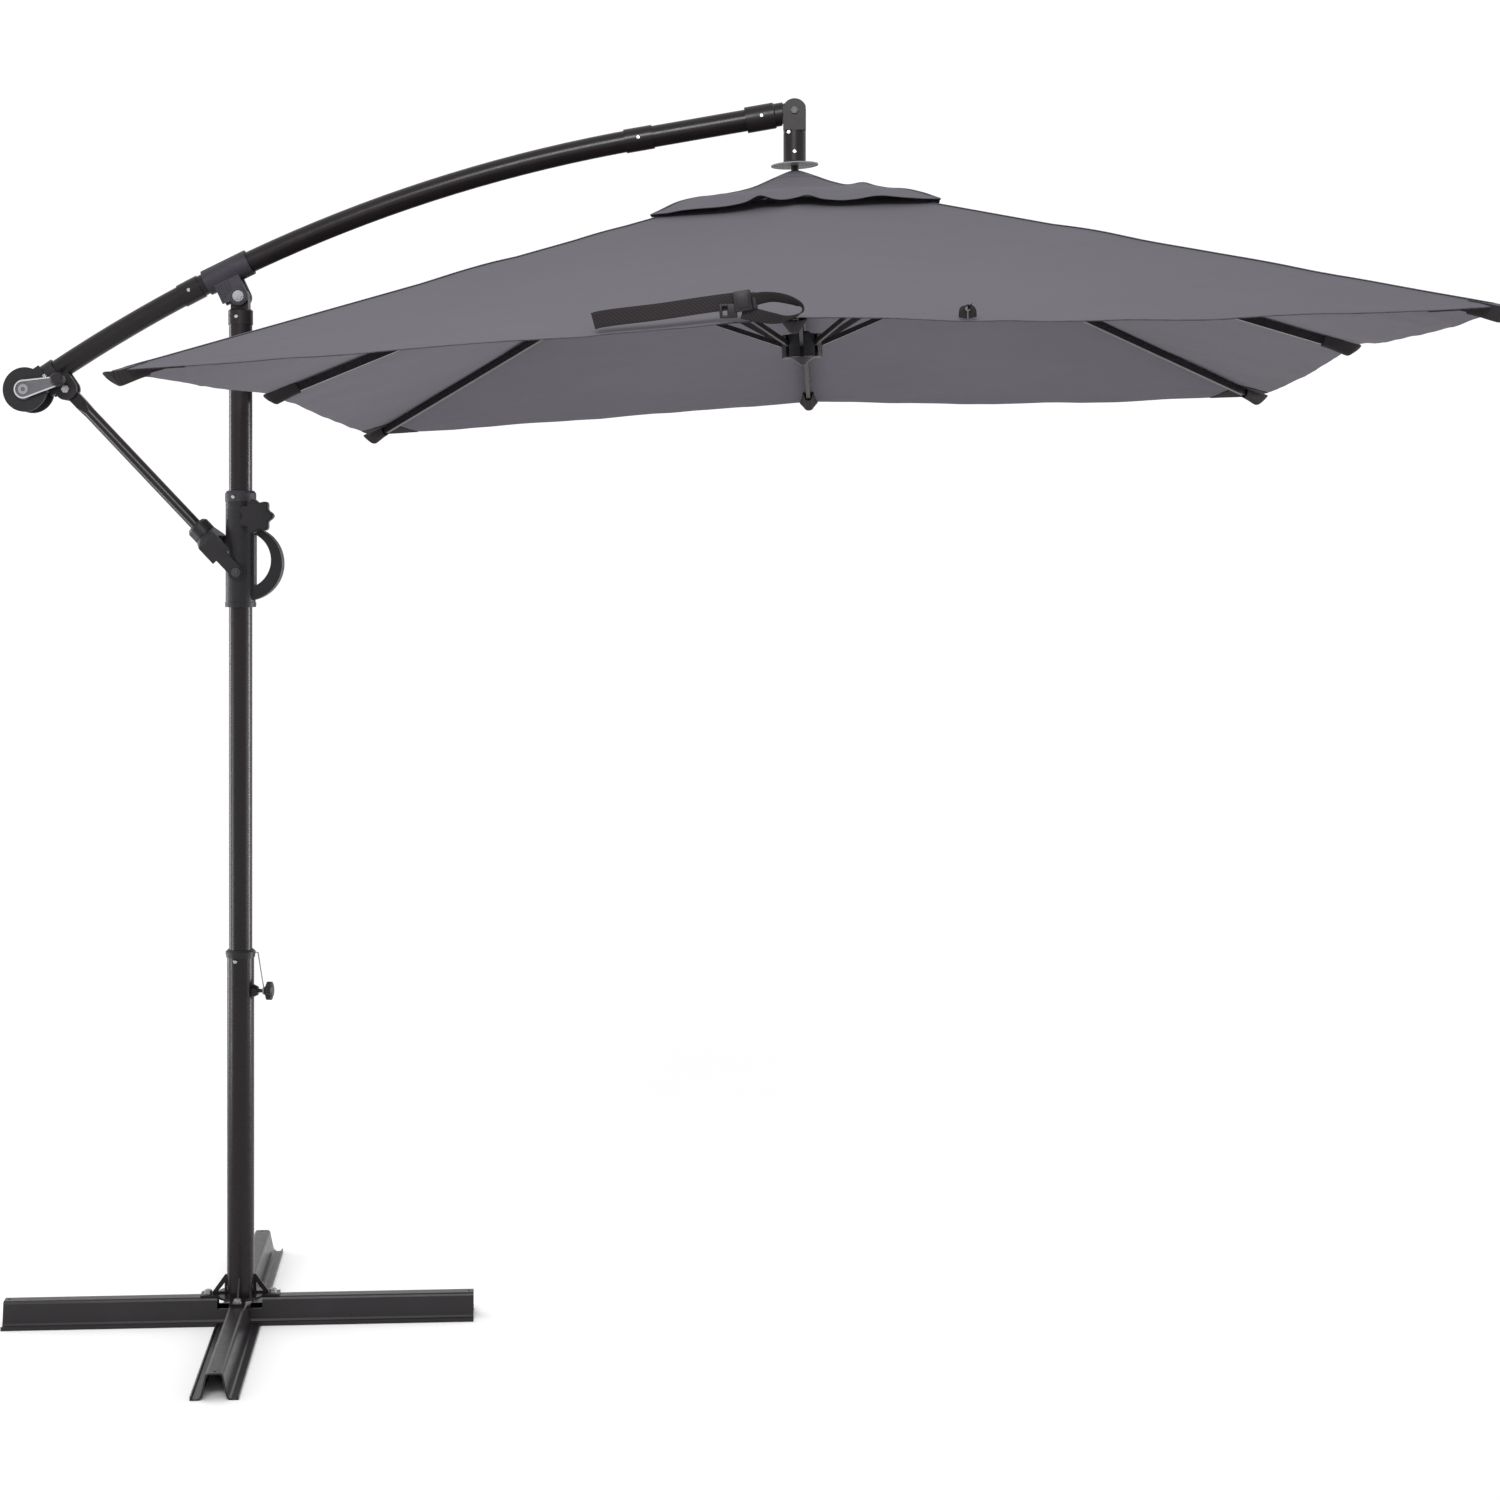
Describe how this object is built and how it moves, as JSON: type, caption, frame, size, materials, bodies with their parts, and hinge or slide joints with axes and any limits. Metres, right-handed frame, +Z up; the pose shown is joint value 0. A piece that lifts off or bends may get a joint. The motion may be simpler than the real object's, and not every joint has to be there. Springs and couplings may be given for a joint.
{
  "type": "cantilever parasol",
  "caption": "Hanging garden parasol: cross base, swivelling mast, curved tilting arm with crank and a square ribbed cloth canopy that folds.",
  "frame": {"origin": "on the ground, at the foot of the mast axis, in the plane of the undersides of the cross legs", "axes": "+X from the mast along the arm towards the canopy, +Z up the mast, +Y to the left of the arm when looking along it"},
  "size_m": [2.8768, 2.3189, 2.6072],
  "materials": {
    "frame_paint": "satin",
    "cast_dark": "satin",
    "rib_metal": "satin",
    "black_plastic": "matte",
    "grey_plastic": "matte",
    "zinc": "satin",
    "canopy_cloth": "matte",
    "webbing": "matte",
    "rope": "matte"
  },
  "bodies": {
    "base": {"leg_lower": "frame_paint", "leg_upper": "frame_paint", "mast_foot": "frame_paint", "base_bolts": "zinc", "tube_collar": "black_plastic", "knob_tether": "grey_plastic", "foot_screw": "zinc"},
    "base_knob": {"base_lock_knob": "black_plastic"},
    "mast": {"mast_tube": "frame_paint", "mast_head": "cast_dark", "mast_screw": "zinc"},
    "slider": {"slider_body": "black_plastic", "slider_cap": "black_plastic", "slider_bolts": "zinc", "slider_screw": "zinc"},
    "slider_knob": {"slider_lock_knob": "black_plastic"},
    "brace": {"brace_boot": "black_plastic", "brace_tube": "frame_paint"},
    "arm": {"arm_clamp": "black_plastic", "arm_pivot_bolt": "zinc", "arm_rear_tube": "frame_paint", "arm_front_tube": "frame_paint", "arm_tip_tube": "frame_paint", "arm_couplings": "frame_paint", "crank_housing": "black_plastic", "arm_screws": "zinc", "elbow_tongue": "cast_dark"},
    "reel": {"reel_drum": "black_plastic", "crank_lever": "zinc"},
    "crank_grip": {"crank_knob": "black_plastic"},
    "hanger": {"elbow_drop": "cast_dark", "elbow_bolts": "zinc", "drop_screws": "zinc", "rain_disc": "grey_plastic", "top_hub": "black_plastic", "lift_rope": "rope"},
    "runner": {"runner_hub": "black_plastic"},
    "rib_0": {"rib_0": "rib_metal", "canopy_0": "canopy_cloth"},
    "rib_1": {"rib_1": "rib_metal", "canopy_1": "canopy_cloth"},
    "rib_2": {"rib_2": "rib_metal", "canopy_2": "canopy_cloth"},
    "rib_3": {"rib_3": "rib_metal", "canopy_3": "canopy_cloth"},
    "rib_4": {"rib_4": "rib_metal", "canopy_4": "canopy_cloth"},
    "rib_5": {"rib_5": "rib_metal", "canopy_5": "canopy_cloth"},
    "rib_6": {"rib_6": "rib_metal", "canopy_6": "canopy_cloth", "tie_strap": "webbing", "strap_buckle": "black_plastic", "hem_loop": "webbing"},
    "rib_7": {"rib_7": "rib_metal", "canopy_7": "canopy_cloth"},
    "strut_0": {"strut_0": "rib_metal"},
    "strut_1": {"strut_1": "rib_metal"},
    "strut_2": {"strut_2": "rib_metal"},
    "strut_3": {"strut_3": "rib_metal"},
    "strut_4": {"strut_4": "rib_metal"},
    "strut_5": {"strut_5": "rib_metal"},
    "strut_6": {"strut_6": "rib_metal"},
    "strut_7": {"strut_7": "rib_metal"}
  },
  "joints": [
    {"name": "mast_swivel", "type": "hinge", "parent": "base", "child": "mast", "pos_m": [0, 0, 0.06], "axis": [0, 0, 1], "continuous": true},
    {"name": "swivel_lock_turn", "type": "hinge", "parent": "base", "child": "base_knob", "pos_m": [0.05, 0, 0.708], "axis": [1, 0, 0], "continuous": true},
    {"name": "arm_tilt", "type": "hinge", "parent": "mast", "child": "arm", "pos_m": [0, 0, 2.2], "axis": [0, 1, 0], "range_deg": [0, 32]},
    {"name": "slider_travel", "type": "slide", "parent": "mast", "child": "slider", "axis": [0, 0, 1], "range_m": [0, 0.2835]},
    {"name": "brace_pivot", "type": "hinge", "parent": "slider", "child": "brace", "pos_m": [0, 0, 1.608], "axis": [0, 1, 0], "range_deg": [-7.26, 0]},
    {"name": "slider_lock_turn", "type": "hinge", "parent": "slider", "child": "slider_knob", "pos_m": [0.045, -0.04, 1.728], "axis": [0, 1, 0], "continuous": true},
    {"name": "elbow_pivot", "type": "hinge", "parent": "arm", "child": "hanger", "pos_m": [1.19, 0, 2.582], "axis": [0, 1, 0], "range_deg": [-32.1, 0]},
    {"name": "runner_travel", "type": "slide", "parent": "hanger", "child": "runner", "axis": [0.0401, 0, -0.9992], "range_m": [0, 0.5844], "deforming": ["lift_rope"]},
    {"name": "crank_turn", "type": "hinge", "parent": "arm", "child": "reel", "pos_m": [-0.466, 0, 2.0015], "axis": [0, 1, 0], "range_deg": [0, 1521.6]},
    {"name": "crank_grip_turn", "type": "hinge", "parent": "reel", "child": "crank_grip", "pos_m": [-0.38318, -0.05, 2.02062], "axis": [0, 1, 0], "continuous": true},
    {"name": "rib_0_fold", "type": "hinge", "parent": "hanger", "child": "rib_0", "pos_m": [1.23206, 0, 2.41947], "axis": [0, 1, 0], "range_deg": [0, 65.59], "deforming": ["canopy_0"]},
    {"name": "strut_0_pivot", "type": "hinge", "parent": "rib_0", "child": "strut_0", "pos_m": [1.66449, 0, 2.27163], "axis": [0, 1, 0], "range_deg": [-131.45, 0]},
    {"name": "canopy_fold", "type": "hinge", "parent": "hanger", "child": "rib_1", "pos_m": [1.22022, 0.02828, 2.4225], "axis": [-0.7065, 0.7071, -0.0284], "range_deg": [0, 69.84], "deforming": ["canopy_1"]},
    {"name": "strut_1_pivot", "type": "hinge", "parent": "rib_1", "child": "strut_1", "pos_m": [1.52616, 0.32926, 2.30488], "axis": [-0.7065, 0.7071, -0.0284], "range_deg": [-131.51, 0]},
    {"name": "rib_2_fold", "type": "hinge", "parent": "hanger", "child": "rib_2", "pos_m": [1.19209, 0.04, 2.41787], "axis": [-0.9992, 0, -0.0401], "range_deg": [0, 65.59], "deforming": ["canopy_2"]},
    {"name": "strut_2_pivot", "type": "hinge", "parent": "rib_2", "child": "strut_2", "pos_m": [1.19872, 0.46614, 2.25293], "axis": [-0.9992, 0, -0.0401], "range_deg": [-131.45, 0]},
    {"name": "rib_3_fold", "type": "hinge", "parent": "hanger", "child": "rib_3", "pos_m": [1.16369, 0.02828, 2.42023], "axis": [-0.7065, -0.7071, -0.0284], "range_deg": [0, 69.85], "deforming": ["canopy_3"]},
    {"name": "strut_3_pivot", "type": "hinge", "parent": "rib_3", "child": "strut_3", "pos_m": [0.86816, 0.32926, 2.27845], "axis": [-0.7065, -0.7071, -0.0284], "range_deg": [-131.51, 0]},
    {"name": "rib_4_fold", "type": "hinge", "parent": "hanger", "child": "rib_4", "pos_m": [1.15213, 0, 2.41626], "axis": [0, -1, 0], "range_deg": [0, 65.59], "deforming": ["canopy_4"]},
    {"name": "strut_4_pivot", "type": "hinge", "parent": "rib_4", "child": "strut_4", "pos_m": [0.73295, 0, 2.23422], "axis": [0, -1, 0], "range_deg": [-131.45, 0]},
    {"name": "rib_5_fold", "type": "hinge", "parent": "hanger", "child": "rib_5", "pos_m": [1.16369, -0.02828, 2.42023], "axis": [0.7065, -0.7071, 0.0284], "range_deg": [0, 69.85], "deforming": ["canopy_5"]},
    {"name": "strut_5_pivot", "type": "hinge", "parent": "rib_5", "child": "strut_5", "pos_m": [0.86816, -0.32926, 2.27845], "axis": [0.7065, -0.7071, 0.0284], "range_deg": [-131.51, 0]},
    {"name": "rib_6_fold", "type": "hinge", "parent": "hanger", "child": "rib_6", "pos_m": [1.19209, -0.04, 2.41787], "axis": [0.9992, 0, 0.0401], "range_deg": [0, 65.59], "deforming": ["canopy_6"]},
    {"name": "strut_6_pivot", "type": "hinge", "parent": "rib_6", "child": "strut_6", "pos_m": [1.19872, -0.46614, 2.25293], "axis": [0.9992, 0, 0.0401], "range_deg": [-131.45, 0]},
    {"name": "rib_7_fold", "type": "hinge", "parent": "hanger", "child": "rib_7", "pos_m": [1.22022, -0.02828, 2.4225], "axis": [0.7065, 0.7071, 0.0284], "range_deg": [0, 69.85], "deforming": ["canopy_7"]},
    {"name": "strut_7_pivot", "type": "hinge", "parent": "rib_7", "child": "strut_7", "pos_m": [1.52616, -0.32926, 2.30488], "axis": [0.7065, 0.7071, 0.0284], "range_deg": [-131.51, 0]}
  ],
  "couplings": [
    {"joint": "slider_travel", "follows": "arm_tilt", "m_per_rad": 0.50531},
    {"joint": "brace_pivot", "follows": "arm_tilt", "ratio": -0.22574},
    {"joint": "elbow_pivot", "follows": "arm_tilt", "ratio": -1},
    {"joint": "rib_0_fold", "follows": "canopy_fold", "ratio": 0.93897},
    {"joint": "strut_0_pivot", "follows": "canopy_fold", "ratio": -1.8817},
    {"joint": "strut_1_pivot", "follows": "canopy_fold", "ratio": -1.8826},
    {"joint": "rib_2_fold", "follows": "canopy_fold", "ratio": 0.93897},
    {"joint": "strut_2_pivot", "follows": "canopy_fold", "ratio": -1.8817},
    {"joint": "rib_3_fold", "follows": "canopy_fold", "ratio": 1},
    {"joint": "strut_3_pivot", "follows": "canopy_fold", "ratio": -1.8826},
    {"joint": "rib_4_fold", "follows": "canopy_fold", "ratio": 0.93897},
    {"joint": "strut_4_pivot", "follows": "canopy_fold", "ratio": -1.8817},
    {"joint": "rib_5_fold", "follows": "canopy_fold", "ratio": 1},
    {"joint": "strut_5_pivot", "follows": "canopy_fold", "ratio": -1.8826},
    {"joint": "rib_6_fold", "follows": "canopy_fold", "ratio": 0.93897},
    {"joint": "strut_6_pivot", "follows": "canopy_fold", "ratio": -1.8817},
    {"joint": "rib_7_fold", "follows": "canopy_fold", "ratio": 1},
    {"joint": "strut_7_pivot", "follows": "canopy_fold", "ratio": -1.8826},
    {"joint": "runner_travel", "follows": "canopy_fold", "m_per_rad": 0.47898},
    {"joint": "crank_turn", "follows": "canopy_fold", "ratio": 21.772}
  ]
}
